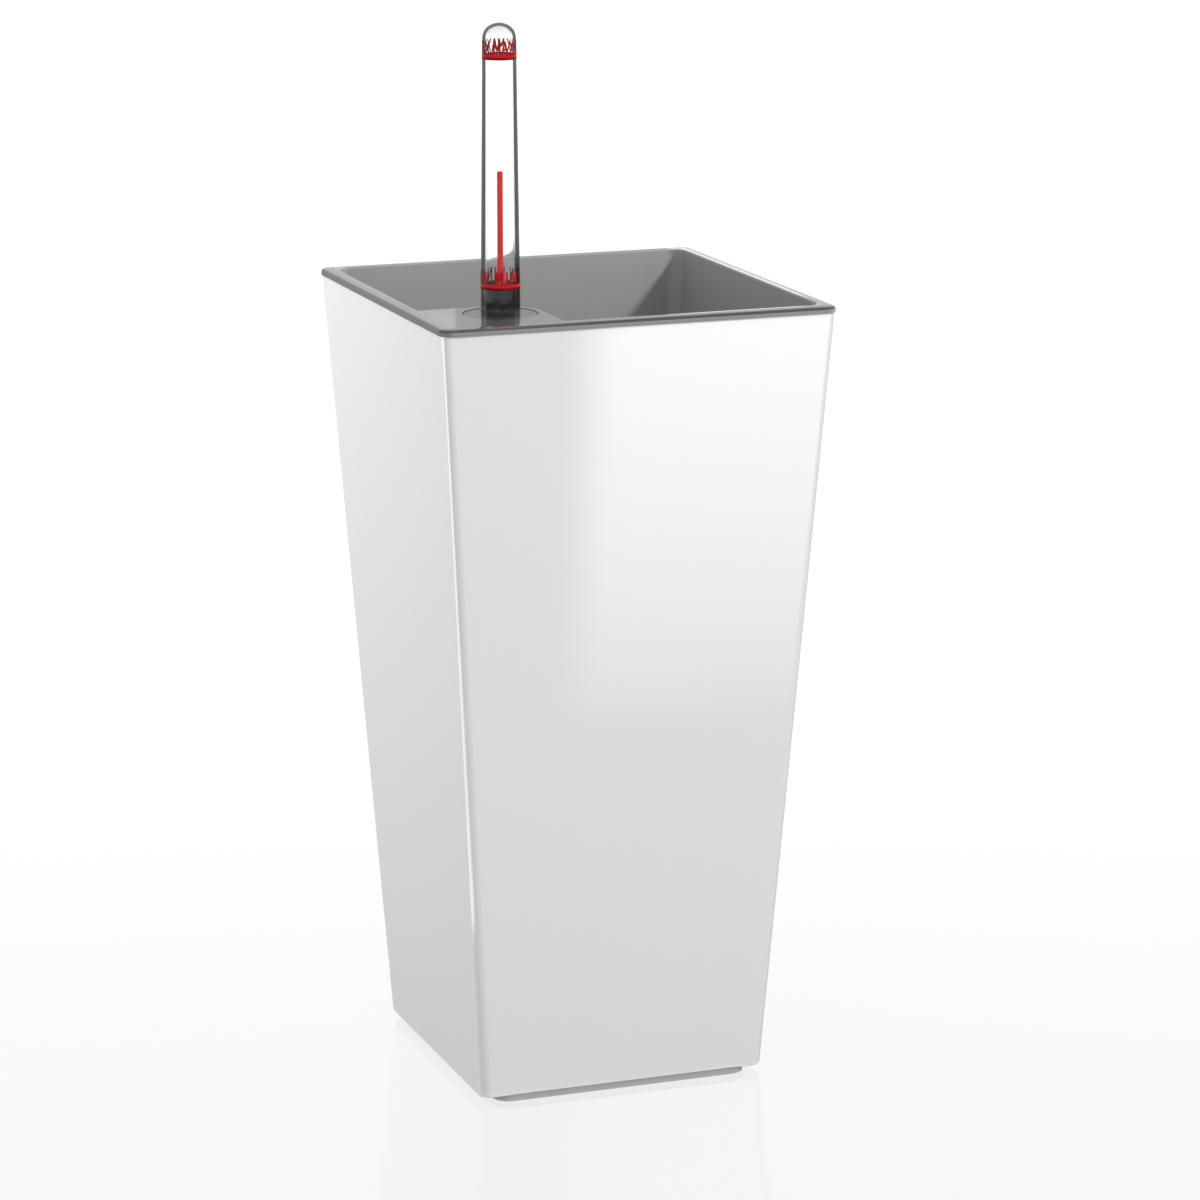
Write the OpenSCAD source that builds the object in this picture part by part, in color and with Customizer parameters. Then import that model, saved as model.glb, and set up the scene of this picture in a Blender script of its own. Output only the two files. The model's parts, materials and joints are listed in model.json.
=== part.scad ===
// Self watering planter: a white outer planter that holds the water, a grey planting liner that hangs
// in it by its flange, wicking baskets that reach down into the water, and a float level indicator.
// Millimetres. +Z is up. The origin is on the ground under the middle of the planter. The indicator
// stands in the corner at -X, -Y.

/* [Overall] */
// Width of the rim, outside to outside, both ways
rim_w = 136; // [112:1:165]
// Height of the rim's top above the ground
pot_h = 266; // [220:1:320]
// Width of the base, outside to outside, both ways
base_w = 101.2; // [84:0.2:122]

/* [Outer planter] */
// Wall thickness of the outer planter
shell_wall = 2.2; // [1.6:0.1:3.2]
// Thickness of the outer planter's floor
shell_floor = 2.5; // [2:0.1:5]
// Corner radius at the rim
shell_top_r = 3; // [2.5:0.1:8]
// Corner radius at the base
shell_base_r = 4; // [3:0.1:10]
// Radius of the edge between the walls and the underside
shell_edge_r = 0.8; // [0.3:0.1:1.5]
// Radius inside, where the walls meet the floor
shell_floor_r = 1; // [0.3:0.1:1.4]
// Depth of the recessed panel in the underside
panel_depth = 0.6; // [0.2:0.1:1]
// Distance from the base's outer edge to that panel
panel_inset = 16; // [14:0.5:25]

/* [Foot rails] */
// Height that the rails lift the underside off the ground
foot_h = 2; // [1:0.1:5]
// Length of a rail
rail_l = 90; // [40:1:98]
// Width of a rail
rail_w = 12; // [6:0.5:20]
// Distance from the planter's base edge to the rail's outer side
rail_inset = 0.3; // [0:0.1:6]
// Depth of the shallow pocket that a rail is bonded into
rail_pocket = 0.5; // [0.2:0.1:1]
// Gap round a rail in its pocket
rail_gap = 0.15; // [0.05:0.05:0.5]

/* [Planting liner] */
// Height of the flange above the outer planter's top edge
flange_h = 2.3; // [1.8:0.1:5]
// How far the flange stands past the outer planter
flange_over = 0.5; // [0:0.1:3]
// Corner radius of the flange
flange_r = 4; // [3:0.1:10]
// Radius of the flange's outer top edge
flange_edge_r = 1.1; // [0.4:0.1:1.5]
// Width of the flange's top that slopes down to that edge
flange_slope_w = 2; // [0.5:0.1:3]
// Fall of that slope
flange_crown = 0.15; // [0.05:0.05:0.4]
// Radius of the edge round the liner's mouth
mouth_r = 0.5; // [0.2:0.1:1]
// Clear gap between the liner and the outer planter's inside
liner_gap = 0.6; // [0.3:0.1:3]
// Wall thickness of the liner
liner_wall = 1.5; // [1:0.1:3]
// Corner radius inside the liner
liner_r = 5; // [3:0.5:12]
// Clear depth of the water space, from the planter's floor to the liner's underside
reservoir_h = 90; // [60:1:120]

/* [Corner deck and water shaft] */
// Drop from the rim's top to the deck
deck_drop = 1.3; // [0.8:0.1:4]
// Thickness of the deck
deck_t = 3.2; // [2.4:0.1:6]
// Diameter of the round cover in the deck
cover_d = 24; // [20:0.5:34]
// Gap round the cover in its seat
cover_gap = 0.3; // [0.1:0.05:0.6]
// Thickness of the cover
cover_t = 1.65; // [1:0.05:3]
// How far the cover's top lies below the deck
cover_drop = 0.15; // [0:0.05:0.6]
// Width of the ledge that carries the cover
ledge_w = 1.5; // [0.8:0.1:3]
// Width of the deck between the cover's seat and the planting space
deck_margin = 2.7; // [2:0.1:8]
// Wall thickness of the water shaft
shaft_wall = 1.5; // [1:0.1:2.5]
// Gap between the water shaft and the liner's walls
shaft_gap = 0.1; // [0.05:0.05:0.4]
// Radius of the deck's edge over the planting space
deck_edge_r = 0.8; // [0.3:0.1:1.2]

/* [Wicking baskets] */
// Diameter of a basket's mouth, outside
basket_d = 28; // [22:0.5:34]
// Difference in radius between a basket's mouth and its bottom
basket_taper = 2; // [0:0.1:4]
// Wall thickness of a basket
basket_wall = 1.3; // [1:0.1:2.5]
// Width of the collar that a basket hangs by
basket_collar = 2.5; // [1.5:0.1:5]
// Distance from a basket's bottom to the outer planter's inside wall
basket_side_gap = 6.4; // [3:0.1:12]
// Distance from a basket's bottom to the outer planter's floor
basket_floor_gap = 5; // [2:0.5:20]
// Number of slots round a basket
basket_slots = 8; // [4:1:12]
// Width of a basket's slots
basket_slot_w = 2.4; // [1.5:0.1:4]

/* [Separator grid] */
// Thickness of the separator's plate
grid_t = 2; // [1.5:0.1:4]
// Height of the air gap that the separator's legs keep under its plate
grid_lift = 5; // [3:0.5:15]
// Width of the slots in the plate
grid_slot_w = 3; // [2:0.1:5]
// Width of the bars between the slots
grid_bar_w = 3.5; // [2:0.1:8]
// Gap between the separator and what stands round it
grid_gap = 0.8; // [0.4:0.1:3]

/* [Level indicator] */
// Outside diameter of the black indicator tube
tube_d = 10.4; // [8.6:0.1:13]
// Wall thickness round the float chamber
tube_wall = 0.9; // [0.7:0.05:1.4]
// Height of the tube's mouth above the rim
tube_up = 7.8; // [4:0.1:20]
// Gap between the indicator's lower end and the planter's floor
tube_floor_gap = 1.5; // [1:0.1:10]
// Distance from the tube to the planter's inside wall, at the floor, at the -X side
tube_side_gap = 5.7; // [3:0.1:12]
// The same at the -Y side
tube_front_gap = 7.2; // [3:0.1:12]
// Wall thickness of the clear cap at its mouth
cap_wall = 1.2; // [0.9:0.05:2]
// Radial clearance between the cap's bore and the tube
cap_fit = 0.08; // [0.02:0.01:0.1]
// Height of the cap over the rim
cap_up = 92.6; // [80:0.1:130]
// Outside diameter of the cap where its dome starts
cap_top_d = 10.9; // [9:0.1:13]
// Height of the dome
dome_h = 4.6; // [3:0.1:6]

/* [Float] */
// Length of the float body
float_l = 46; // [30:1:60]
// Radial gap between the float body and its chamber
float_gap = 0.4; // [0.3:0.05:0.8]
// Travel of the float from the middle of the scale, up and down
float_travel = 37; // [20:1:42]
// Diameter of the rod's stem
stem_d = 4.2; // [3.4:0.1:5]
// Diameter of the thin pointer at the rod's top
pointer_d = 1.9; // [1.2:0.1:2.6]
// Height of the pointer's tip above the rim, at mid scale
pointer_up = 44.9; // [38:0.1:60]
// Length of the thin pointer
pointer_l = 27.6; // [15:0.1:35]
// Length of the taper from the pointer to the stem
flare_l = 10.3; // [4:0.1:12]
// Radial clearance between the stem and its guide
guide_fit = 0.08; // [0.02:0.01:0.1]

/* [Hidden] */

$fn = 64;
corner_steps = 12;          // flat facets round each moulded corner
shaft_steps = 24;           // flat facets round the shaft's corner
cut = 1;                    // how far a cutting tool runs past the face it cuts

// heights
shell_top = pot_h - flange_h;
floor_z = foot_h + shell_floor;
liner_z = floor_z + reservoir_h;
liner_floor_z = liner_z + liner_wall;
deck_z = pot_h - deck_drop;

// the outer planter's faces, as half widths at a height
shell_slope = (rim_w / 2 - flange_over - base_w / 2) / (shell_top - foot_h);
function shell_out(z) = base_w / 2 + (z - foot_h) * shell_slope;
function shell_in(z) = shell_out(z) - shell_wall;
function liner_out(z) = shell_in(z) - liner_gap;
function liner_in(z) = liner_out(z) - liner_wall;
base_in = shell_in(floor_z);
gate_r = 2;                 // the mould's gate mark in the underside

// the indicator's axis, the same for the shaft, the deck's seat and the cover
tube_r = tube_d / 2;
axis_x = -(base_in - tube_r - tube_side_gap);
axis_y = -(base_in - tube_r - tube_front_gap);
seat_r = cover_d / 2 + cover_gap;
shaft_r = seat_r + deck_margin;
cover_top = deck_z - cover_drop;
seat_depth = cover_drop + cover_t;

// the baskets stand in the three corners that the shaft leaves free
basket_r = basket_d / 2;
basket_low_r = basket_r - basket_taper;
basket_c = base_in - basket_low_r - basket_side_gap;
basket_z = floor_z + basket_floor_gap;
basket_collar_t = 1.4;
basket_fit = 0.05;
BASKETS = [[-basket_c, basket_c], [basket_c, basket_c], [basket_c, -basket_c]];

// the separator
grid_z = liner_floor_z + grid_lift;
grid_half = liner_in(liner_floor_z) - grid_gap;
grid_hole_r = basket_r - basket_wall;
grid_edge = 4;
grid_leg_r = 2;

// the indicator, from its lower end up
strainer_z = floor_z + tube_floor_gap;
strainer_t = 1.5;
tube_z = strainer_z + strainer_t;
spigot_h = 3;
tube_top = pot_h + tube_up;
chamber_r = tube_r - tube_wall;
end_play = 0.1;
float_z = tube_z + spigot_h + end_play + float_travel;
float_top = float_z + float_l;
chamber_top = float_top + float_travel + end_play;
float_r = chamber_r - float_gap;
stem_r = stem_d / 2;
pointer_r = pointer_d / 2;
guide_h = 5;
guide_r = stem_r + guide_fit;
guide_wall = 1.2;
guide_out_r = guide_r + guide_wall;
tube_in_r = guide_out_r - 0.4;
inlet_h = 12;
inlet_w = 2.2;
tip_z = pot_h + pointer_up;
flare_top = tip_z - pointer_l;
stem_socket = 8;

// the clear cap
cap_bore_r = tube_r + cap_fit;
cap_low_r = cap_bore_r + cap_wall;
cap_top_r = cap_top_d / 2;
cap_top_wall = 1.05;
cap_dome_z = pot_h + cap_up - dome_h;
cap_step_z = tube_top + 0.3;
dome_steps = 12;

// the outline of a square with round corners, as points
function ring(half, r, z) = [for (corner = [0:3], i = [0:corner_steps])
    let (a = 90 * corner + 90 * i / corner_steps,
         sx = corner == 0 || corner == 3 ? 1 : -1,
         sy = corner < 2 ? 1 : -1)
    [sx * (half - r) + r * cos(a), sy * (half - r) + r * sin(a), z]];

// a solid skinned over outlines of equally many points, from the lowest up
module skin(outlines) {
    n = len(outlines[0]);
    last = len(outlines) - 1;
    polyhedron(
        points = [for (outline = outlines) each outline],
        faces = concat(
            [[for (i = [0:n - 1]) i]],
            [[for (i = [n - 1:-1:0]) last * n + i]],
            [for (k = [0:last - 1], i = [0:n - 1])
                [k * n + i, (k + 1) * n + i, (k + 1) * n + (i + 1) % n, k * n + (i + 1) % n]]));
}

// a stack of round-cornered squares, each [height, half width, corner radius]
module loft(levels) {
    skin([for (level = levels) ring(level[1], level[2], level[0])]);
}

// the corner area that the deck covers, with its one free corner rounded about the indicator's axis
function shaft_outline(r) = [
    [-rim_w, -rim_w], [axis_x + r, -rim_w],
    for (i = [0:shaft_steps]) let (a = 90 * i / shaft_steps) [axis_x + r * cos(a), axis_y + r * sin(a)],
    [-rim_w, axis_y + r]];
function at_height(outline, z) = [for (p = outline) [p[0], p[1], z]];

module at_indicator(z) {
    translate([axis_x, axis_y, z]) children();
}

module stadium(l, w) {
    for (side = [-1, 1]) translate([side * (l - w) / 2, 0]) circle(w / 2);
    square([l - w, w], center = true);
}

module at_rail(side, z) {
    translate([0, side * (base_w / 2 - rail_inset - rail_w / 2), z]) children();
}

module outer_planter() {
    color("white") difference() {
        loft([for (a = [0:15:90])
                 [foot_h + shell_edge_r * (1 - cos(a)),
                  shell_out(foot_h) - shell_edge_r * (1 - sin(a)), shell_base_r - shell_edge_r * (1 - sin(a))],
              [shell_top, shell_out(shell_top), shell_top_r]]);
        loft([for (a = [0:30:90])
                 [floor_z + shell_floor_r * (1 - cos(a)),
                  shell_in(floor_z) - shell_floor_r * (1 - sin(a)),
                  shell_base_r - shell_wall - shell_floor_r * (1 - sin(a))],
              [shell_top + cut, shell_in(shell_top + cut), shell_top_r - shell_wall]]);
        for (side = [-1, 1]) at_rail(side, foot_h - cut)
            linear_extrude(rail_pocket + cut) stadium(rail_l + 2 * rail_gap, rail_w + 2 * rail_gap);
        difference() {
            loft([for (z = [foot_h - cut, foot_h + panel_depth])
                      [z, base_w / 2 - panel_inset, shell_base_r]]);
            translate([0, 0, foot_h + panel_depth / 2]) cylinder(r = gate_r, h = panel_depth);
        }
    }
}

module foot_rail(side) {
    groove = 0.7;
    color([0.25, 0.26, 0.27]) difference() {
        at_rail(side, 0) linear_extrude(foot_h + rail_pocket) stadium(rail_l, rail_w);
        for (row = [-1:1]) at_rail(side, 0) translate([0, row * rail_w / 4, 0])
            cube([rail_l - rail_w, groove * 2, groove * 2], center = true);
    }
}

module planting_liner() {
    half = rim_w / 2;
    underside_r = 1.2;
    deck_low = deck_z - deck_t;
    color([0.55, 0.56, 0.57]) difference() {
        union() {
            loft([[liner_z, liner_out(liner_z) - underside_r, liner_r + liner_wall],
                  [liner_z + underside_r, liner_out(liner_z + underside_r), liner_r + liner_wall],
                  [shell_top + cut, liner_out(shell_top + cut), liner_r + liner_wall]]);
            loft([[shell_top, half, flange_r],
                  for (a = [0:18:90])
                      [pot_h - flange_crown - flange_edge_r * (1 - sin(a)),
                       half - flange_edge_r * (1 - cos(a)), flange_r - flange_edge_r * (1 - cos(a))],
                  [pot_h, half - flange_edge_r - flange_slope_w, flange_r - flange_edge_r]]);
        }
        difference() {
            loft([[liner_floor_z, liner_in(liner_floor_z), liner_r],
                  for (a = [0:30:90])
                      [pot_h - mouth_r * (1 - sin(a)), liner_in(pot_h) + mouth_r * (1 - cos(a)), liner_r],
                  [pot_h + cut, liner_in(pot_h) + mouth_r, liner_r]]);
            skin([at_height(shaft_outline(shaft_r), deck_low),
                  for (a = [0:15:90])
                      at_height(shaft_outline(shaft_r - deck_edge_r * (1 - cos(a))),
                                deck_z - deck_edge_r * (1 - sin(a)))]);
        }
        intersection() {
            loft([for (z = [liner_z - cut, liner_floor_z + cut]) [z, liner_in(z), liner_r]]);
            skin([for (z = [liner_z - cut, liner_floor_z + cut])
                      at_height(shaft_outline(shaft_r - shaft_wall), z)]);
        }
        at_indicator(deck_z - seat_depth) cylinder(r = seat_r, h = seat_depth + cut);
        at_indicator(deck_low - cut) cylinder(r = seat_r - ledge_w, h = deck_t + cut);
        for (p = BASKETS) translate([p[0], p[1], liner_z - cut])
            cylinder(r = basket_r + basket_fit, h = liner_wall + 2 * cut);
        floor_slots();
    }
}

// the wall that parts the shaft from the planting space, from the liner's floor up to the deck
module water_shaft() {
    ends = [liner_floor_z, deck_z - deck_t];
    color([0.53, 0.54, 0.55]) intersection() {
        loft([for (z = ends) [z, liner_in(z) - shaft_gap, liner_r]]);
        difference() {
            skin([for (z = ends) at_height(shaft_outline(shaft_r), z)]);
            skin([for (z = [ends[0] - cut, ends[1] + cut])
                      at_height(shaft_outline(shaft_r - shaft_wall), z)]);
        }
    }
}

// drain slots through the liner's floor, in a row between the baskets and beside the shaft
module floor_slots() {
    slot_l = 12;
    slot_w = 2.4;
    pitch = 8;
    for (k = [-1:1]) {
        translate([k * pitch, basket_c, liner_floor_z]) cube([slot_w, slot_l, 6], center = true);
        translate([basket_c, k * pitch, liner_floor_z]) cube([slot_l, slot_w, 6], center = true);
    }
}

module wicking_basket(p) {
    top = liner_floor_z + basket_collar_t;
    slot_low = basket_z + 6;
    slot_high = liner_z - 6;
    band = 5;
    slot_h = (slot_high - slot_low - band) / 2;
    color([0.3, 0.31, 0.32]) translate([p[0], p[1], 0]) difference() {
        union() {
            translate([0, 0, basket_z])
                cylinder(r1 = basket_low_r, r2 = basket_r, h = liner_z - basket_z);
            translate([0, 0, liner_z]) cylinder(r = basket_r, h = liner_wall);
            translate([0, 0, liner_floor_z]) cylinder(r = basket_r + basket_collar, h = basket_collar_t);
        }
        translate([0, 0, basket_z + basket_wall])
            cylinder(r1 = basket_low_r - basket_wall, r2 = basket_r - basket_wall, h = liner_z - basket_z);
        translate([0, 0, liner_z]) cylinder(r = basket_r - basket_wall, h = top - liner_z + cut);
        for (k = [0:basket_slots - 1], row = [0, 1])
            rotate(360 * (k + 0.5) / basket_slots)
                translate([basket_low_r / 2, -basket_slot_w / 2, slot_low + row * (slot_h + band)])
                    cube([basket_r, basket_slot_w, slot_h]);
        for (turn = [0, 90]) rotate(turn)
            cube([basket_low_r, basket_slot_w, 2 * (basket_z + basket_wall + cut)], center = true);
    }
}

// the separator's outline, drawn in by a margin from every edge and hole
module grid_plan(margin) {
    r = max(liner_r - margin, 1);
    half = grid_half - margin;
    difference() {
        union() {
            square([2 * half, 2 * (half - r)], center = true);
            square([2 * (half - r), 2 * half], center = true);
            for (sx = [-1, 1], sy = [-1, 1]) translate([sx * (half - r), sy * (half - r)]) circle(r);
        }
        polygon(shaft_outline(shaft_r + grid_gap + margin));
        for (p = BASKETS) translate(p) circle(grid_hole_r + margin);
    }
}

module separator_grid() {
    pitch = grid_slot_w + grid_bar_w;
    rows = floor((grid_half - grid_edge) / pitch);
    leg = grid_half - 2 * grid_leg_r;
    color([0.35, 0.36, 0.37]) {
        difference() {
            translate([0, 0, grid_z]) linear_extrude(grid_t) grid_plan(0);
            translate([0, 0, grid_z - cut]) linear_extrude(grid_t + 2 * cut) intersection() {
                grid_plan(grid_edge);
                for (k = [-rows:rows]) translate([0, k * pitch])
                    for (side = [-1, 1]) translate([side * grid_half / 2, 0])
                        square([grid_half - grid_bar_w, grid_slot_w], center = true);
            }
        }
        for (p = [[0, leg], [leg, 0], [0, -leg], [-leg, 0], [leg, leg]])
            translate([p[0], p[1], liner_floor_z]) cylinder(r = grid_leg_r, h = grid_lift);
    }
}

module shaft_cover() {
    hub_r = tube_r + 1.8;
    hub_h = 6;
    color([0.5, 0.51, 0.52]) difference() {
        union() {
            at_indicator(cover_top - cover_t) cylinder(r = cover_d / 2, h = cover_t);
            at_indicator(cover_top - hub_h) cylinder(r = hub_r, h = hub_h);
        }
        at_indicator(cover_top - hub_h - cut) cylinder(r = tube_r, h = hub_h + 2 * cut);
    }
}

module indicator_tube() {
    inlet_z = tube_z + spigot_h + 1;
    color([0.06, 0.06, 0.06]) difference() {
        at_indicator(tube_z) cylinder(r = tube_r, h = tube_top - tube_z);
        at_indicator(tube_z - cut) cylinder(r = chamber_r, h = chamber_top - tube_z + cut);
        at_indicator(tube_z) cylinder(r = tube_in_r, h = tube_top - tube_z + cut);
        at_indicator(tube_top - guide_h) cylinder(r = guide_out_r, h = guide_h + cut);
        for (turn = [0:90:270]) at_indicator(inlet_z) rotate(turn)
            translate([chamber_r - cut, -inlet_w / 2, 0]) cube([tube_wall + 2 * cut, inlet_w, inlet_h]);
    }
}

module rod_guide() {
    vent = 1.4;
    color([0.12, 0.12, 0.12]) difference() {
        at_indicator(tube_top - guide_h) cylinder(r = guide_out_r, h = guide_h);
        at_indicator(tube_top - guide_h - cut) cylinder(r = guide_r, h = guide_h + 2 * cut);
        for (turn = [0:120:240]) at_indicator(tube_top - guide_h - cut) rotate(turn)
            translate([guide_r - 0.4, -vent / 2, 0]) cube([0.4 + guide_wall / 2, vent, guide_h + 2 * cut]);
    }
}

module inlet_strainer() {
    hole_r = 0.8;
    ring_r = chamber_r * 0.55;
    color([0.12, 0.12, 0.12]) difference() {
        union() {
            at_indicator(strainer_z) cylinder(r = tube_r, h = strainer_t);
            at_indicator(tube_z) cylinder(r = chamber_r, h = spigot_h);
        }
        for (turn = [0:60:300]) at_indicator(strainer_z - cut) rotate(turn)
            translate([ring_r, 0, 0]) cylinder(r = hole_r, h = strainer_t + spigot_h + 2 * cut);
    }
}

// half profile of the dome: points round an oval arc, from its foot to its crown
function arc(r, h, z) = [for (i = [0:dome_steps]) let (a = 90 * i / dome_steps) [r * cos(a), z + h * sin(a)]];

module indicator_cap() {
    inner_low_r = cap_bore_r - 0.35;
    inner_top_r = cap_top_r - cap_top_wall;
    color([0.85, 0.88, 0.9, 0.35]) at_indicator(0) rotate_extrude() difference() {
        polygon(concat([[0, cover_top], [cap_low_r, cover_top]], arc(cap_top_r, dome_h, cap_dome_z)));
        polygon(concat([[0, cover_top - cut], [cap_bore_r, cover_top - cut], [cap_bore_r, cap_step_z],
                        [inner_low_r, cap_step_z]],
                       arc(inner_top_r, dome_h - cap_top_wall, cap_dome_z)));
    }
}

module float_body() {
    end_r = 1;
    color([0.93, 0.92, 0.88]) at_indicator(0) rotate_extrude() difference() {
        polygon([[0, float_z], [float_r - end_r, float_z], [float_r, float_z + end_r],
                 [float_r, float_top - end_r], [float_r - end_r, float_top], [0, float_top]]);
        translate([0, float_top - stem_socket]) square([stem_r, stem_socket + cut]);
    }
}

module float_rod() {
    tip = 0.3;
    color([0.8, 0.1, 0.1]) at_indicator(0) rotate_extrude()
        polygon([[0, float_top - stem_socket], [stem_r, float_top - stem_socket],
                 [stem_r, flare_top - flare_l], [pointer_r * 1.35, flare_top - flare_l / 2],
                 [pointer_r, flare_top], [pointer_r, tip_z - tip], [pointer_r - tip, tip_z], [0, tip_z]]);
}

outer_planter();
foot_rail(-1);  // front_foot_rail
foot_rail(1);  // rear_foot_rail
planting_liner();
water_shaft();
wicking_basket(BASKETS[0]);  // wicking_basket_rear_left
wicking_basket(BASKETS[1]);  // wicking_basket_rear_right
wicking_basket(BASKETS[2]);  // wicking_basket_front_right
separator_grid();
shaft_cover();
indicator_tube();
rod_guide();
inlet_strainer();
indicator_cap();
float_body();
float_rod();
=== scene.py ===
# %% [markdown]
# # A self watering planter
#
# A white outer planter holds the water. A grey planting liner hangs in it by its flange, with a small
# deck in one corner. A float level indicator stands through that deck under a clear, domed cap.
#
# The shapes and sizes of the moulded parts are fixed and come in with the frame. This lesson gives them
# their finishes, adds the scale that is printed on the clear cap, and lights the whole as a small studio
# product shot. Everything is in metres, in the frame's own axes: +Z is up and -Y is the front.

# %% Load the fixed frame
import json
import math
import bpy
from mathutils import Matrix, Vector


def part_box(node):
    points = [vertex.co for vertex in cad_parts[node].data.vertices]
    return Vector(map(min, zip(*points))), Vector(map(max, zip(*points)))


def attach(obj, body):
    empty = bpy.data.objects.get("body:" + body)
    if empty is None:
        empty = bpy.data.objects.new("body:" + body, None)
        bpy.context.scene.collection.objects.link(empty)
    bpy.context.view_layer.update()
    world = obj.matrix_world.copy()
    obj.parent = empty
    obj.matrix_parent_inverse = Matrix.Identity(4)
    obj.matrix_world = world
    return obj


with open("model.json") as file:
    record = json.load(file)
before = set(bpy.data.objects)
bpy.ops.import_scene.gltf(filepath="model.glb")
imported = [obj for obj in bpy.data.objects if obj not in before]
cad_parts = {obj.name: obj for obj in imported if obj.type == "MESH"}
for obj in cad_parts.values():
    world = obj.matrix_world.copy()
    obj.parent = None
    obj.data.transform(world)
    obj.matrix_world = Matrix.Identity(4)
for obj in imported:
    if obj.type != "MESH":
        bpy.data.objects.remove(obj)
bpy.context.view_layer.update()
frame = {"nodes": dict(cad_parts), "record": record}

nodes = frame["nodes"]
mm = 0.001

# %% [markdown]
# ## Camera
#
# The camera comes first, because every later choice is judged through it. It stands to the left of the
# front face and a little above the rim. A long lens keeps the upright edges nearly parallel, as a
# product photographer would, and its shift stays at zero so that other views are not bent.

# %% Camera
camera_place = Vector((-0.4912, -1.3614, 0.5036))
camera_yaw = math.radians(20.21)
camera_pitch = math.radians(13.43)
camera_lens = 131.3


def make_camera():
    data = bpy.data.cameras.new("studio_camera")
    data.sensor_width = 36
    data.lens = camera_lens
    camera = bpy.data.objects.new("studio_camera", data)
    camera.location = camera_place
    camera.rotation_euler = (math.radians(90) - camera_pitch, 0, -camera_yaw)
    bpy.context.collection.objects.link(camera)
    bpy.context.scene.camera = camera
    return camera


make_camera()
print("camera distance, mm:", round(camera_place.length / mm))

# %% [markdown]
# ## Shared effects
#
# Moulded plastic is never perfectly even. Three effects turn up in several finishes here, so each is a
# node group that is built once: the soft ripple and fine grain of a moulded skin, the faint smudges that
# change how sharply a surface mirrors, and the streaks that run the way the plastic was drawn or filled.
# A group gives out plain values only, and the shader stays in each material.

# %% Helpers for node groups
def new_group(name, inputs, outputs):
    group = bpy.data.node_groups.new(name, "ShaderNodeTree")
    for socket, kind, value in inputs:
        made = group.interface.new_socket(name=socket, in_out="INPUT", socket_type=kind)
        if value is not None:
            made.default_value = value
    for socket in outputs:
        group.interface.new_socket(name=socket, in_out="OUTPUT", socket_type="NodeSocketFloat")
    return group, group.nodes.new("NodeGroupInput"), group.nodes.new("NodeGroupOutput")


def add_noise(tree, vector, scale, detail=2.0, roughness=0.5):
    noise = tree.nodes.new("ShaderNodeTexNoise")
    noise.inputs["Detail"].default_value = detail
    noise.inputs["Roughness"].default_value = roughness
    tree.links.new(vector, noise.inputs["Vector"])
    if isinstance(scale, float):
        noise.inputs["Scale"].default_value = scale
    else:
        tree.links.new(scale, noise.inputs["Scale"])
    return noise.outputs["Fac"]


def add_math(tree, operation, *values):
    node = tree.nodes.new("ShaderNodeMath")
    node.operation = operation
    for socket, value in zip(node.inputs, values):
        if isinstance(value, (int, float)):
            socket.default_value = value
        else:
            tree.links.new(value, socket)
    return node.outputs[0]


def add_range(tree, value, low, high, to_low, to_high):
    node = tree.nodes.new("ShaderNodeMapRange")
    for name, number in (("From Min", low), ("From Max", high), ("To Min", to_low), ("To Max", to_high)):
        node.inputs[name].default_value = number
    tree.links.new(value, node.inputs["Value"])
    return node.outputs["Result"]


# %% The three effects
def build_moulded_skin():
    group, given, result = new_group("moulded_skin", [
        ("Vector", "NodeSocketVector", None), ("Ripples per Metre", "NodeSocketFloat", 300.0),
        ("Grains per Metre", "NodeSocketFloat", 3000.0), ("Grain Share", "NodeSocketFloat", 0.3)], ["Height"])
    ripple = add_noise(group, given.outputs["Vector"], given.outputs["Ripples per Metre"], detail=1.0)
    grain = add_noise(group, given.outputs["Vector"], given.outputs["Grains per Metre"], detail=3.0)
    share = given.outputs["Grain Share"]
    fine = add_math(group, "MULTIPLY", grain, share)
    coarse = add_math(group, "MULTIPLY", ripple, add_math(group, "SUBTRACT", 1.0, share))
    group.links.new(add_math(group, "ADD", fine, coarse), result.inputs["Height"])
    return group


def build_smudges():
    group, given, result = new_group("smudges", [
        ("Vector", "NodeSocketVector", None), ("Patches per Metre", "NodeSocketFloat", 20.0),
        ("Clean", "NodeSocketFloat", 0.05), ("Smudged", "NodeSocketFloat", 0.12)], ["Roughness", "Mask"])
    broad = add_noise(group, given.outputs["Vector"], given.outputs["Patches per Metre"], detail=4.0)
    speckle = add_noise(group, given.outputs["Vector"], 900.0, detail=2.0)
    patch = add_range(group, broad, 0.42, 0.68, 0.0, 1.0)
    mask = add_math(group, "MULTIPLY", patch, add_range(group, speckle, 0.3, 0.7, 0.55, 1.0))
    spread = add_math(group, "SUBTRACT", given.outputs["Smudged"], given.outputs["Clean"])
    rough = add_math(group, "MULTIPLY_ADD", mask, spread, given.outputs["Clean"])
    group.links.new(rough, result.inputs["Roughness"])
    group.links.new(mask, result.inputs["Mask"])
    return group


def build_flow_streaks():
    group, given, result = new_group("flow_streaks", [
        ("Vector", "NodeSocketVector", None), ("Streaks per Metre", "NodeSocketFloat", 260.0),
        ("Stretch", "NodeSocketFloat", 0.06)], ["Streak"])
    squeeze = group.nodes.new("ShaderNodeCombineXYZ")
    squeeze.inputs["X"].default_value = 1.0
    squeeze.inputs["Y"].default_value = 1.0
    group.links.new(given.outputs["Stretch"], squeeze.inputs["Z"])
    scaled = group.nodes.new("ShaderNodeVectorMath")
    scaled.operation = "MULTIPLY"
    group.links.new(given.outputs["Vector"], scaled.inputs[0])
    group.links.new(squeeze.outputs[0], scaled.inputs[1])
    streak = add_noise(group, scaled.outputs[0], given.outputs["Streaks per Metre"], detail=3.0)
    group.links.new(streak, result.inputs["Streak"])
    return group


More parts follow.
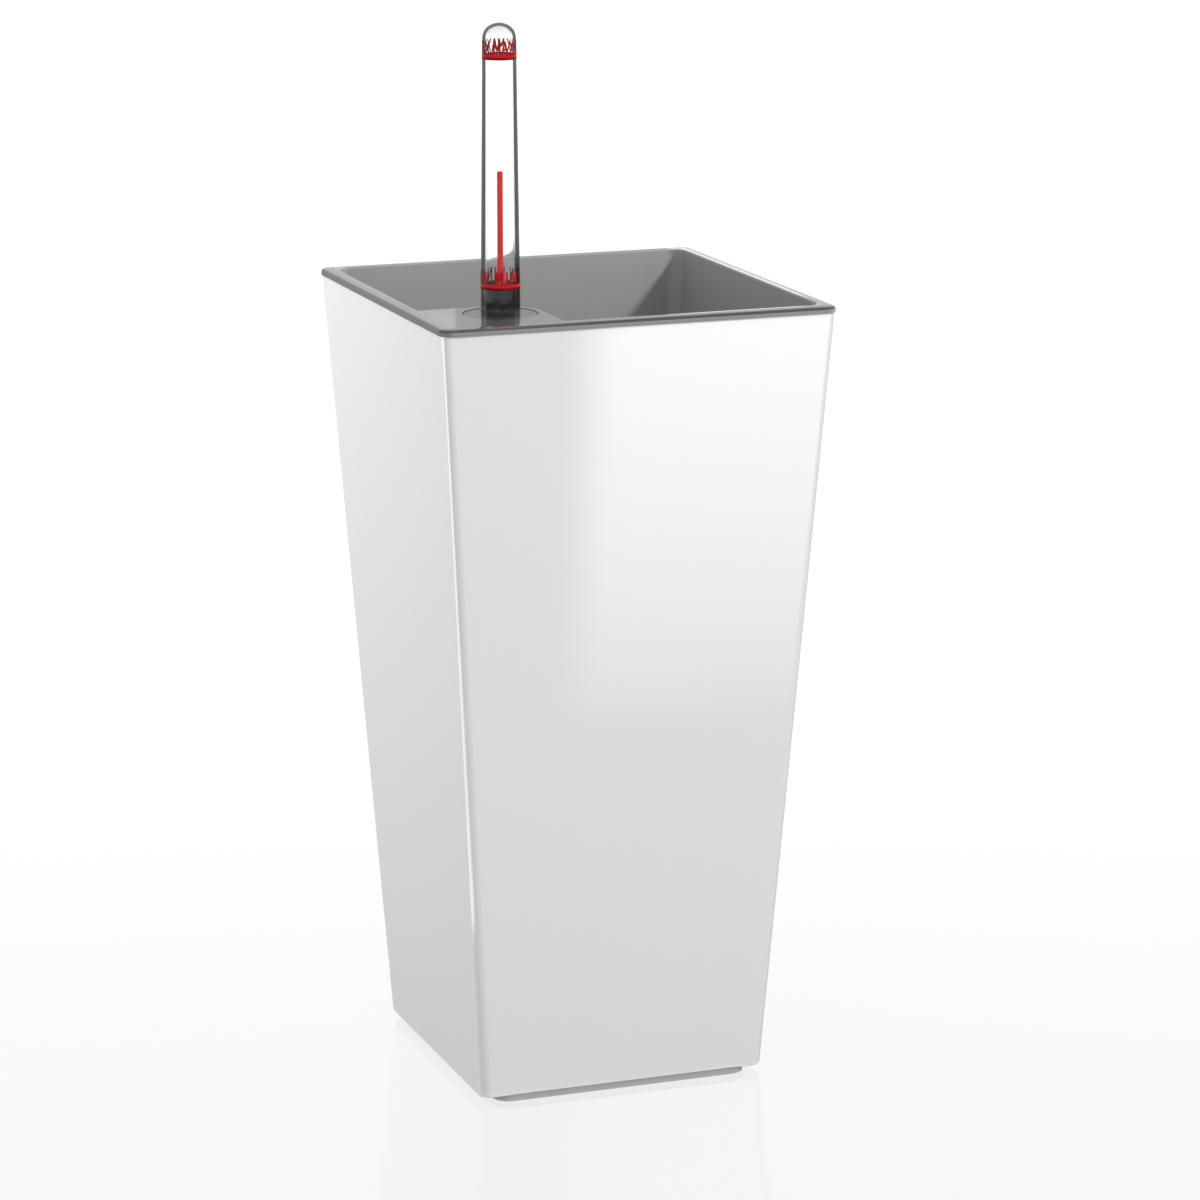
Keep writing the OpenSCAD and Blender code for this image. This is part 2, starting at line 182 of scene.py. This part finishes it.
effects = {group.name: group for group in (build_moulded_skin(), build_smudges(), build_flow_streaks())}
print("effects:", sorted(effects))

# %% [markdown]
# ## A finish is a short recipe
#
# Most of the pieces are moulded plastic and differ in colour, gloss and skin. One function builds the
# shared part: a Principled shader, object coordinates, the skin's bump, the smudges on the roughness,
# and a slight variation of the base colour. What stays the same all over a surface is set on the
# shader's own sockets.

# %% The moulded plastic recipe
def add_effect(tree, name, **settings):
    node = tree.nodes.new("ShaderNodeGroup")
    node.node_tree = effects[name]
    for socket, value in settings.items():
        node.inputs[socket.replace("_", " ")].default_value = value
    tree.links.new(object_coordinates(tree), node.inputs["Vector"])
    return node


def object_coordinates(tree):
    found = tree.nodes.get("Texture Coordinate") or tree.nodes.new("ShaderNodeTexCoord")
    return found.outputs["Object"]


def blend_colours(tree, mask, first, second):
    mix = tree.nodes.new("ShaderNodeMix")
    mix.data_type = "RGBA"
    mix.inputs["A"].default_value = (*first, 1)
    mix.inputs["B"].default_value = (*second, 1)
    tree.links.new(mask, mix.inputs["Factor"])
    return mix.outputs["Result"]


def plastic(name, colour, clean, smudged, bump, bump_height, variation=0.02, ripples=300.0, grains=3000.0,
            grain_share=0.3, patches=20.0, coat=0.0, ior=1.5, streak_pull=0.06):
    material = bpy.data.materials.new(name)
    material.use_nodes = True
    tree = material.node_tree
    shader = tree.nodes["Principled BSDF"]
    skin = add_effect(tree, "moulded_skin", Ripples_per_Metre=ripples, Grains_per_Metre=grains,
                      Grain_Share=grain_share)
    lift = tree.nodes.new("ShaderNodeBump")
    lift.inputs["Strength"].default_value = bump
    lift.inputs["Distance"].default_value = bump_height
    tree.links.new(skin.outputs["Height"], lift.inputs["Height"])
    tree.links.new(lift.outputs["Normal"], shader.inputs["Normal"])
    smudge = add_effect(tree, "smudges", Patches_per_Metre=patches, Clean=clean, Smudged=smudged)
    tree.links.new(smudge.outputs["Roughness"], shader.inputs["Roughness"])
    streaks = add_effect(tree, "flow_streaks", Stretch=streak_pull)
    paler = tuple(min(1.0, part * (1 + variation)) for part in colour)
    darker = tuple(part * (1 - variation) for part in colour)
    tone = blend_colours(tree, streaks.outputs["Streak"], darker, paler)
    tree.links.new(tone, shader.inputs["Base Color"])
    shader.inputs["IOR"].default_value = ior
    shader.inputs["Coat Weight"].default_value = coat
    shader.inputs["Coat Roughness"].default_value = 0.03
    return material


def dress(node, material):
    slots = nodes[node].material_slots
    for slot in slots:
        slot.material = material
    print(f"{node}: {material.name}")


# %% [markdown]
# ## Outer planter
#
# The shell is white plastic with a lacquered high gloss. Such a surface looks smooth, but its mirror
# images waver a little over each centimetre, which is what tells the eye that it is lacquer on plastic
# and not glass. So the ripple is broad and very shallow, and the roughness is low and nearly even.

# %% Outer planter finish
gloss_white = plastic("gloss_white_lacquer", (0.86, 0.86, 0.86), clean=0.07, smudged=0.11, bump=0.25,
                      bump_height=0.02 * mm, variation=0.006, ripples=130.0, grains=900.0, grain_share=0.08,
                      patches=14.0, coat=0.5)
dress("outer_planter", gloss_white)

# %% [markdown]
# ## Foot rails
#
# The rails under the planter are grey rubber. Rubber has almost no mirror image, a fine even grain from
# its mould, and picks up pale dust, so its colour varies more than that of the hard plastics.

# %% Foot rail finish
foot_rubber = plastic("foot_rubber", (0.33, 0.33, 0.335), clean=0.62, smudged=0.78, bump=0.6,
                      bump_height=0.06 * mm, variation=0.08, grains=5000.0, grain_share=0.8)
for rail in ("front_foot_rail", "rear_foot_rail"):
    dress(rail, foot_rubber)

# %% [markdown]
# ## Liner, deck and cover
#
# The liner is grey plastic from one mould with two finishes. The deck and the top of the flange are
# polished: they look dark and mirror what stands on them. The walls, and the flange's upright lip, come
# from an etched part of the mould, so they scatter the light and look paler and softer. One material holds
# both. Masks on the object coordinates say where the polish lies. The round cover is polished too.

# %% Where the liner is polished
polished_tone = 0.045
etched_tone = 0.255
rim_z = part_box("planting_liner")[1].z
rim_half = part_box("planting_liner")[1].x
lip_height = 1.15 * mm
deck_drop = 2.6 * mm
deck_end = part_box("water_shaft")[1]
hit, inner_wall, _, _ = nodes["planting_liner"].ray_cast(Vector((0, 0, rim_z - 1.5 * mm)), Vector((1, 0, 0)))
print("deck ends at, mm:", [round(side / mm, 1) for side in deck_end], "wall at, mm:", round(inner_wall.x / mm, 1))


def polished_mask(tree):
    """1 on the deck and on the flange's top, 0 on the walls and on the flange's lip."""
    split = tree.nodes.new("ShaderNodeSeparateXYZ")
    tree.links.new(object_coordinates(tree), split.inputs[0])
    x, y, z = (split.outputs[name] for name in "XYZ")
    reach = add_math(tree, "MAXIMUM", add_math(tree, "ABSOLUTE", x), add_math(tree, "ABSOLUTE", y))
    flange_top = add_math(tree, "MULTIPLY",
                          add_range(tree, z, rim_z - lip_height, rim_z - lip_height + 0.1 * mm, 0.0, 1.0),
                          add_range(tree, reach, inner_wall.x + 0.2 * mm, inner_wall.x + 0.5 * mm, 0.0, 1.0))
    deck = add_range(tree, z, rim_z - deck_drop, rim_z - deck_drop + 0.4 * mm, 0.0, 1.0)
    for place, end in ((x, deck_end.x + 0.6 * mm), (y, deck_end.y + 0.6 * mm), (reach, rim_half - 1.3 * mm)):
        deck = add_math(tree, "MULTIPLY", deck, add_math(tree, "LESS_THAN", place, end))
    return add_math(tree, "MAXIMUM", flange_top, deck)


# %% Liner and cover finishes
def liner_plastic():
    material = plastic("liner_grey", (etched_tone, etched_tone, etched_tone * 0.99), clean=0.3, smudged=0.38,
                       bump=0.3, bump_height=0.02 * mm, variation=0.03, ripples=160.0, grains=2600.0,
                       grain_share=0.2)
    tree = material.node_tree
    shader = tree.nodes["Principled BSDF"]
    polished = polished_mask(tree)
    etched = shader.inputs["Base Color"].links[0].from_socket
    tone = blend_colours(tree, polished, (1, 1, 1), (polished_tone, polished_tone, polished_tone))
    tree.links.new(etched, tone.node.inputs["A"])
    tree.links.new(tone, shader.inputs["Base Color"])
    satin = shader.inputs["Roughness"].links[0].from_socket
    keep = add_range(tree, polished, 0.0, 1.0, 1.0, 0.25)
    tree.links.new(add_math(tree, "MULTIPLY", satin, keep), shader.inputs["Roughness"])
    tree.links.new(add_math(tree, "MULTIPLY", polished, 0.2), shader.inputs["Coat Weight"])
    return material


liner_grey = liner_plastic()
cover_grey = plastic("cover_grey", (0.02, 0.02, 0.02), clean=0.08, smudged=0.14, bump=0.25,
                     bump_height=0.01 * mm, variation=0.03, ripples=220.0, grains=2600.0, grain_share=0.2)
for name in ("planting_liner", "water_shaft"):
    dress(name, liner_grey)
dress("shaft_cover", cover_grey)

# %% [markdown]
# ## Baskets and separator
#
# These pieces sit out of sight in wet growing medium, so they come from plain moulds with a matte,
# spark-eroded grain. They are darker than the liner, as recycled plastic usually is.

# %% Basket and separator finish
basket_grey = plastic("basket_grey", (0.085, 0.086, 0.088), clean=0.5, smudged=0.62, bump=0.6,
                      bump_height=0.05 * mm, variation=0.08, grains=4200.0, grain_share=0.7)
basket_names = [name for name in nodes if name.startswith("wicking_basket")]
for name in basket_names + ["separator_grid"]:
    dress(name, basket_grey)

# %% [markdown]
# ## Level indicator
#
# The tube, its guide and its strainer are black. The rod and its pointer are a clear signal red, and the
# float is fine closed-cell foam. The cap is clear plastic: a transmitting shader with a low roughness and
# the index of such a plastic, 1.49. Along its outline the wall mirrors inside itself and pipes in light
# from the side, which on a real cap comes from the dark deck and lens. That dark line is painted here: light
# that leaves the wall after such an inner reflection turns near-black, so the wall draws itself as a painted
# dark line from every side.

# %% Indicator finishes
tube_black = plastic("tube_black", (0.012, 0.012, 0.012), clean=0.26, smudged=0.36, bump=0.3,
                     bump_height=0.02 * mm, variation=0.1, ripples=400.0, grains=3500.0)
rod_red = plastic("rod_red", (0.9, 0.004, 0.006), clean=0.18, smudged=0.26, bump=0.2,
                  bump_height=0.01 * mm, variation=0.05, ripples=500.0, ior=1.33)
for name in ("indicator_tube", "rod_guide", "inlet_strainer"):
    dress(name, tube_black)
dress("float_rod", rod_red)


def foam():
    material = plastic("float_foam", (0.8, 0.79, 0.75), clean=0.75, smudged=0.85, bump=0.3,
                       bump_height=0.05 * mm, variation=0.04, grains=4000.0)
    tree = material.node_tree
    cells = tree.nodes.new("ShaderNodeTexVoronoi")
    cells.inputs["Scale"].default_value = 1600.0
    tree.links.new(object_coordinates(tree), cells.inputs["Vector"])
    pit = tree.nodes.new("ShaderNodeBump")
    pit.inputs["Strength"].default_value = 0.5
    pit.inputs["Distance"].default_value = 0.15 * mm
    tree.links.new(cells.outputs["Distance"], pit.inputs["Height"])
    skin = tree.nodes["Bump"]
    tree.links.new(skin.outputs["Normal"], pit.inputs["Normal"])
    tree.links.new(pit.outputs["Normal"], tree.nodes["Principled BSDF"].inputs["Normal"])
    return material


dress("float_body", foam())


# Painted dark outline: the near-black colour the cap takes for light reflected inside its wall.
painted_outline_tone = 0.003


def clear_plastic():
    material = plastic("clear_cap", (0.985, 0.99, 0.99), clean=0.0, smudged=0.02, bump=0.1,
                       bump_height=0.01 * mm, variation=0.004, ripples=160.0, grain_share=0.0, ior=1.49)
    tree = material.node_tree
    shader = tree.nodes["Principled BSDF"]
    shader.inputs["Transmission Weight"].default_value = 1.0
    leaving = tree.nodes.new("ShaderNodeNewGeometry").outputs["Backfacing"]
    mirrored = tree.nodes.new("ShaderNodeLightPath").outputs["Is Reflection Ray"]
    # Painted shade: backfacing reflection rays get a near-black colour, which draws the cap's outline.
    painted_outline_mask = add_math(tree, "MULTIPLY", leaving, mirrored)
    clear = shader.inputs["Base Color"].links[0].from_socket
    tone = blend_colours(tree, painted_outline_mask, (1, 1, 1), (painted_outline_tone, painted_outline_tone, painted_outline_tone))
    tree.links.new(clear, tone.node.inputs["A"])
    tree.links.new(tone, shader.inputs["Base Color"])
    return material


dress("indicator_cap", clear_plastic())

# %% [markdown]
# ## The printed scale
#
# Two red bands are printed round the clear cap, at the lowest and highest water level, each with its
# short word standing on it. Print has almost no thickness, but it needs some to be seen from both sides
# of the clear wall, so it is a skin a twentieth of a millimetre thick that lies just off the cap.
#
# The cap tapers, so the print has to follow it. A ray cast at the cap from outside gives the true surface
# at any angle and height.

# %% Find the cap's surface
cap = nodes["indicator_cap"]
cap_low, cap_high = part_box("indicator_cap")
axis = (cap_low + cap_high) / 2
tip_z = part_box("float_rod")[1].z
float_joint = next(joint for joint in frame["record"]["behaviour"]["joints"]
                   if joint["name"] == "float_travel")
min_z, max_z = (tip_z + limit for limit in float_joint["range_m"])


def cap_radius(z):
    """Outer radius of the cap at a height."""
    start = Vector((axis.x + 0.05, axis.y, z))
    hit, place, _, _ = cap.ray_cast(start, Vector((-1, 0, 0)))
    assert hit, "the ray missed the cap"
    return place.x - axis.x


print("cap radius at the marks, mm:", [round(cap_radius(z) / mm, 2) for z in (min_z, max_z)])

# %% [markdown]
# ### Bands by Geometry Nodes
#
# A band is a circle with a flat profile swept along it. The tree takes one radius, read at the band's
# lower edge, and the same tree makes both bands.

# %% The band tree
def build_band_tree():
    tree = bpy.data.node_groups.new("printed_band", "GeometryNodeTree")
    for name, kind, value in (("Radius", "NodeSocketFloat", 0.006), ("Height", "NodeSocketFloat", 0.001),
                              ("Thickness", "NodeSocketFloat", 0.00005), ("Centre", "NodeSocketVector", None),
                              ("Ink", "NodeSocketMaterial", None)):
        made = tree.interface.new_socket(name=name, in_out="INPUT", socket_type=kind)
        if value is not None:
            made.default_value = value
    tree.interface.new_socket(name="Geometry", in_out="OUTPUT", socket_type="NodeSocketGeometry")
    given, result = tree.nodes.new("NodeGroupInput"), tree.nodes.new("NodeGroupOutput")
    path = tree.nodes.new("GeometryNodeCurvePrimitiveCircle")
    path.inputs["Resolution"].default_value = 96
    profile = tree.nodes.new("GeometryNodeCurvePrimitiveQuadrilateral")
    sweep = tree.nodes.new("GeometryNodeCurveToMesh")
    place = tree.nodes.new("GeometryNodeTransform")
    solid = tree.nodes.new("GeometryNodeRealizeInstances")
    ink = tree.nodes.new("GeometryNodeSetMaterial")
    links = tree.links
    links.new(given.outputs["Radius"], path.inputs["Radius"])
    links.new(given.outputs["Thickness"], profile.inputs["Width"])
    links.new(given.outputs["Height"], profile.inputs["Height"])
    links.new(path.outputs["Curve"], sweep.inputs["Curve"])
    links.new(profile.outputs["Curve"], sweep.inputs["Profile Curve"])
    links.new(sweep.outputs["Mesh"], place.inputs["Geometry"])
    links.new(given.outputs["Centre"], place.inputs["Translation"])
    links.new(place.outputs["Geometry"], solid.inputs["Geometry"])
    links.new(solid.outputs["Geometry"], ink.inputs["Geometry"])
    links.new(given.outputs["Ink"], ink.inputs["Material"])
    links.new(ink.outputs["Geometry"], result.inputs["Geometry"])
    return tree


def made_by(tree, name, **settings):
    """One plain mesh object from a Geometry Nodes tree and its settings."""
    holder = bpy.data.objects.new(name + "_holder", bpy.data.meshes.new(name + "_holder"))
    bpy.context.collection.objects.link(holder)
    modifier = holder.modifiers.new("tree", "NODES")
    modifier.node_group = tree
    sockets = {item.name: item.identifier for item in tree.interface.items_tree if item.in_out == "INPUT"}
    for socket, value in settings.items():
        modifier[sockets[socket]] = value
    evaluated = holder.evaluated_get(bpy.context.evaluated_depsgraph_get())
    mesh = bpy.data.meshes.new_from_object(evaluated)
    bpy.data.objects.remove(holder)
    piece = bpy.data.objects.new(name, mesh)
    bpy.context.collection.objects.link(piece)
    return piece


ink_red = plastic("ink_red", (0.42, 0.002, 0.008), clean=0.3, smudged=0.4, bump=0.2, bump_height=0.01 * mm,
                  variation=0.06, ior=1.3)
ink_gap = 0.02 * mm
ink_thickness = 0.05 * mm
band_height = 1.7 * mm
prints = []
band_tree = build_band_tree()
for name, z in (("min_band", min_z), ("max_band", max_z)):
    radius = cap_radius(z - band_height / 2) + ink_gap + ink_thickness / 2
    band = made_by(band_tree, name, Radius=radius, Height=band_height, Thickness=ink_thickness,
                   Centre=(axis.x, axis.y, z), Ink=ink_red)
    prints.append(band)
    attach(band, "cap")
    print(name, "radius, mm:", round(radius / mm, 2), "faces:", len(band.data.polygons))

# %% [markdown]
# ### The words
#
# Plain gauge words, MIN and MAX, stand on the bands, repeated so that one always faces the reader. Each
# letter is a few straight strokes on a unit grid. A stroke is cut into short lengths, and every length is
# bent round the cap, so the letters follow its surface closely.

# %% Letters as strokes round the cap
letters = {
    "M": [((0, 0), (0, 1)), ((0, 1), (0.5, 0.35)), ((0.5, 0.35), (1, 1)), ((1, 1), (1, 0))],
    "I": [((0.5, 0), (0.5, 1))],
    "N": [((0, 0), (0, 1)), ((0, 1), (1, 0)), ((1, 0), (1, 1))],
    "A": [((0, 0), (0.5, 1)), ((0.5, 1), (1, 0)), ((0.2, 0.38), (0.8, 0.38))],
    "X": [((0, 0), (1, 1)), ((0, 1), (1, 0))],
}
letter_height = 4.2 * mm
letter_width = 1.9 * mm
letter_step = 2.6 * mm
stroke_width = 0.65 * mm
stroke_cuts = 5
word_count = 4


def on_cap(along, z, radius, lift):
    """A point that lies a distance along the cap's girth, at a height, lifted off its surface."""
    angle = along / radius
    reach = cap_radius(z) + lift
    return Vector((axis.x + reach * math.cos(angle), axis.y + reach * math.sin(angle), z))


def add_stroke(vertices, faces, start, end, radius):
    """A thin flat bar from start to end, both given as distance along the girth and height."""
    start, end = Vector(start), Vector(end)
    side = (end - start).normalized().orthogonal() * stroke_width / 2
    for cut in range(stroke_cuts + 1):
        middle = start.lerp(end, cut / stroke_cuts)
        for edge, lift in ((side, ink_gap), (side, ink_gap + ink_thickness),
                           (-side, ink_gap + ink_thickness), (-side, ink_gap)):
            point = middle + edge
            vertices.append(on_cap(point.x, point.y, radius, lift))
    first = len(vertices) - 4 * (stroke_cuts + 1)
    for cut in range(stroke_cuts):
        low = first + 4 * cut
        faces.extend((low + k, low + (k + 1) % 4, low + 4 + (k + 1) % 4, low + 4 + k) for k in range(4))
    faces.append((first + 3, first + 2, first + 1, first))
    last = len(vertices) - 4
    faces.append((last, last + 1, last + 2, last + 3))


def print_words(name, word, foot_z):
    radius = cap_radius(foot_z)
    girth = 2 * math.pi * radius
    vertices, faces = [], []
    for turn in range(word_count):
        for place, letter in enumerate(word):
            middle = girth * turn / word_count + (place - (len(word) - 1) / 2) * letter_step
            left = middle - letter_width / 2
            for start, end in letters[letter]:
                add_stroke(vertices, faces,
                           (left + start[0] * letter_width, foot_z + start[1] * letter_height),
                           (left + end[0] * letter_width, foot_z + end[1] * letter_height), radius)
    mesh = bpy.data.meshes.new(name)
    mesh.from_pydata(vertices, [], faces)
    mesh.materials.append(ink_red)
    piece = bpy.data.objects.new(name, mesh)
    bpy.context.collection.objects.link(piece)
    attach(piece, "cap")
    print(name, "faces:", len(mesh.polygons))
    return piece


for name, word, z in (("min_marks", "MIN", min_z), ("max_marks", "MAX", max_z)):
    prints.append(print_words(name, word, z + band_height / 2 + 0.1 * mm))

# %% [markdown]
# ## Floor, light and surroundings
#
# The set is a pale, glossy floor that runs out of sight, under an even white dome of light. White plastic
# on white needs its shape from tone alone. So the floor glows for the camera, as a lit table does, but
# throws back much less light than that, and the shell darkens towards its foot. From below it is open, and
# it lets light through to what lies a few millimetres over it, so that the underside can be looked at.

# %% Floor
floor_glow = 0.72
floor_shown = 0.07
floor_thrown_back = 0.22
floor_drop = 0.1 * mm
lit_from_below = 4 * mm


def pale_floor():
    material = bpy.data.materials.new("studio_floor")
    material.use_nodes = True
    tree = material.node_tree
    shader = tree.nodes["Principled BSDF"]
    path = tree.nodes.new("ShaderNodeLightPath").outputs
    seen = add_math(tree, "MAXIMUM", path["Is Camera Ray"], path["Is Transmission Ray"])
    tone = blend_colours(tree, seen, (floor_thrown_back,) * 3, (floor_shown,) * 3)
    tree.links.new(tone, shader.inputs["Base Color"])
    shader.inputs["Roughness"].default_value = 0.1
    shader.inputs["Emission Color"].default_value = (1, 1, 1, 1)
    tree.links.new(add_math(tree, "MULTIPLY", seen, floor_glow), shader.inputs["Emission Strength"])
    close = add_math(tree, "LESS_THAN", path["Ray Length"], lit_from_below)
    from_below = tree.nodes.new("ShaderNodeNewGeometry").outputs["Backfacing"]
    gap = add_math(tree, "MAXIMUM", from_below, add_math(tree, "MULTIPLY", close, path["Is Diffuse Ray"]))
    mixed = tree.nodes.new("ShaderNodeMixShader")
    clear = tree.nodes.new("ShaderNodeBsdfTransparent")
    tree.links.new(gap, mixed.inputs[0])
    tree.links.new(shader.outputs[0], mixed.inputs[1])
    tree.links.new(clear.outputs[0], mixed.inputs[2])
    tree.links.new(mixed.outputs[0], tree.nodes["Material Output"].inputs["Surface"])
    return material


def make_plane(name, width, height, place, look_at=None):
    mesh = bpy.data.meshes.new(name)
    corners = [(-width / 2, -height / 2, 0), (width / 2, -height / 2, 0),
               (width / 2, height / 2, 0), (-width / 2, height / 2, 0)]
    mesh.from_pydata(corners, [], [(0, 1, 2, 3)])
    plane = bpy.data.objects.new(name, mesh)
    turn = Matrix.Identity(4)
    if look_at is not None:
        turn = (Vector(look_at) - Vector(place)).to_track_quat("Z", "Y").to_matrix().to_4x4()
    plane.matrix_world = Matrix.Translation(place) @ turn
    bpy.context.collection.objects.link(plane)
    return plane


floor_width = 24
floor = make_plane("floor", floor_width, floor_width, (0, 0, -floor_drop))
floor.data.materials.append(pale_floor())

# %% [markdown]
# ### Lamps
#
# A key lamp stands high at the front right and lights the shell and the indicator. A smaller, harder lamp
# on the right lights only the liner, and throws the shadow of its rim across the inside. A box at the back left lifts the top of the
# shell's left face and fades down it. Light linking keeps it off the liner, as a flag would in a studio.

# %% Soft boxes
def link_to(source, receivers):
    """Light linking: the source lights, or is mirrored in, only these objects."""
    source.light_linking.receiver_collection = bpy.data.collections.new(source.name + "_reaches")
    for receiver in receivers:
        source.light_linking.receiver_collection.objects.link(receiver)


def soft_light(name, place, aim, width, height, watts, lit=()):
    """An area lamp. With names in lit, it lights only those nodes."""
    data = bpy.data.lights.new(name, "AREA")
    data.shape = "RECTANGLE"
    data.size, data.size_y = width, height
    data.energy = watts
    light = bpy.data.objects.new(name, data)
    light.location = place
    light.rotation_euler = (Vector(aim) - Vector(place)).to_track_quat("-Z", "Y").to_euler()
    light.visible_camera = False
    light.visible_glossy = False
    bpy.context.collection.objects.link(light)
    if lit:
        link_to(light, lit)


rim = Vector((0, 0, rim_z))
liner_parts = [nodes["planting_liner"], nodes["water_shaft"]]
other_parts = [node for node in nodes.values() if node not in liner_parts] + prints
soft_light("front_key", (0.5, -0.9, 1.0), rim, 0.3, 0.3, 7.4, lit=other_parts)
soft_light("inner_key", (0.95, -0.5, 1.27), rim, 0.16, 0.16, 28.0, lit=liner_parts)
soft_light("left_box", (-0.45, 0.33, 0.5), (-0.06, 0.03, 0.2), 0.2, 0.2, 2.7, lit=[nodes["outer_planter"]])

# %% [markdown]
# ### Cards that are only mirrored
#
# Gloss shows what stands round it. A tall card at the front right puts the long bright reflection on the
# front face: it is dimmer at its foot and soft at its left edge, so the reflection fades there. A narrow
# card beside the left face draws the bright line down the front edge, and a low one behind the right
# shoulder brightens the flange there. A grey card behind tones the deck down, and a black one overhead keeps
# the flange's rounded edge dark. None of them lights anything.

# %% Mirrored cards
def only_mirrored(card):
    for sense in ("visible_camera", "visible_diffuse", "visible_shadow", "visible_transmission"):
        setattr(card, sense, False)


def glow_card(name, node, width, height, foot, facing, strength, soft_side, fade, curve=1.0):
    """An upright card that glows more towards its top, and is mirrored in one node only."""
    card = make_plane(name, width, height, (foot[0], foot[1], foot[2] + height / 2), None)
    upright = Matrix.Rotation(facing, 4, "Z") @ Matrix.Rotation(math.radians(90), 4, "X")
    card.matrix_world = Matrix.Translation(card.matrix_world.translation) @ upright
    material = bpy.data.materials.new(name)
    material.use_nodes = True
    tree = material.node_tree
    place = tree.nodes.new("ShaderNodeSeparateXYZ")
    tree.links.new(object_coordinates(tree), place.inputs[0])
    up = add_range(tree, place.outputs["Y"], -height / 2, -height / 2 + fade, 0.0, 1.0)
    up = add_math(tree, "POWER", up, curve)
    across = add_range(tree, place.outputs["X"], -width / 2, -width / 2 + soft_side, 0.0, 1.0)
    glow = tree.nodes.new("ShaderNodeEmission")
    amount = add_math(tree, "MULTIPLY", add_math(tree, "MULTIPLY", up, across), strength)
    tree.links.new(amount, glow.inputs["Strength"])
    mixed = tree.nodes.new("ShaderNodeAddShader")
    clear = tree.nodes.new("ShaderNodeBsdfTransparent")
    tree.links.new(glow.outputs[0], mixed.inputs[0])
    tree.links.new(clear.outputs[0], mixed.inputs[1])
    tree.links.new(mixed.outputs[0], tree.nodes["Material Output"].inputs["Surface"])
    card.data.materials.append(material)
    only_mirrored(card)
    link_to(card, [nodes[node]])


def tone_card(name, width, height, place, tone, look_at=None):
    """A flat card that shows one even tone, seen only in mirror images."""
    card = make_plane(name, width, height, place, look_at)
    material = bpy.data.materials.new(name)
    material.use_nodes = True
    shader = material.node_tree.nodes["Principled BSDF"]
    shader.inputs["Base Color"].default_value = (0, 0, 0, 1)
    shader.inputs["Roughness"].default_value = 1.0
    shader.inputs["Emission Color"].default_value = (1, 1, 1, 1)
    shader.inputs["Emission Strength"].default_value = tone
    card.data.materials.append(material)
    only_mirrored(card)


sideways = math.radians(90)
glow_card("front_card", "outer_planter", 0.3, 0.3, (0.235, -0.36, 0.0), 0.0, 3.4, soft_side=0.018, fade=0.16, curve=0.6)
glow_card("edge_card", "outer_planter", 0.09, 0.25, (-0.17, -0.035, 0.0), sideways, 4.0, soft_side=0.01, fade=0.01)
glow_card("rim_card", "planting_liner", 0.16, 0.05, (0.2, 0.35, 0.304), sideways, 1.0, soft_side=0.01, fade=0.004)
tone_card("overhead_card", 0.1, 0.18, (0.1, -0.07, 0.466), 0.0)
tone_card("grey_card", 0.092, 0.08, (0.104, 0.3, 0.32), 0.68, look_at=(0.104, 0.0, 0.32))

# %% White dome
dome_shown = 1.0
dome_thrown = 1.0


def white_dome():
    world = bpy.data.worlds.new("studio")
    bpy.context.scene.world = world
    world.use_nodes = True
    tree = world.node_tree
    background = tree.nodes["Background"]
    background.inputs["Color"].default_value = (1, 1, 1, 1)
    path = tree.nodes.new("ShaderNodeLightPath")
    strength = add_range(tree, path.outputs["Is Diffuse Ray"], 0.0, 1.0, dome_shown, dome_thrown)
    tree.links.new(strength, background.inputs["Strength"])


white_dome()
bpy.context.scene.view_settings.view_transform = "Standard"
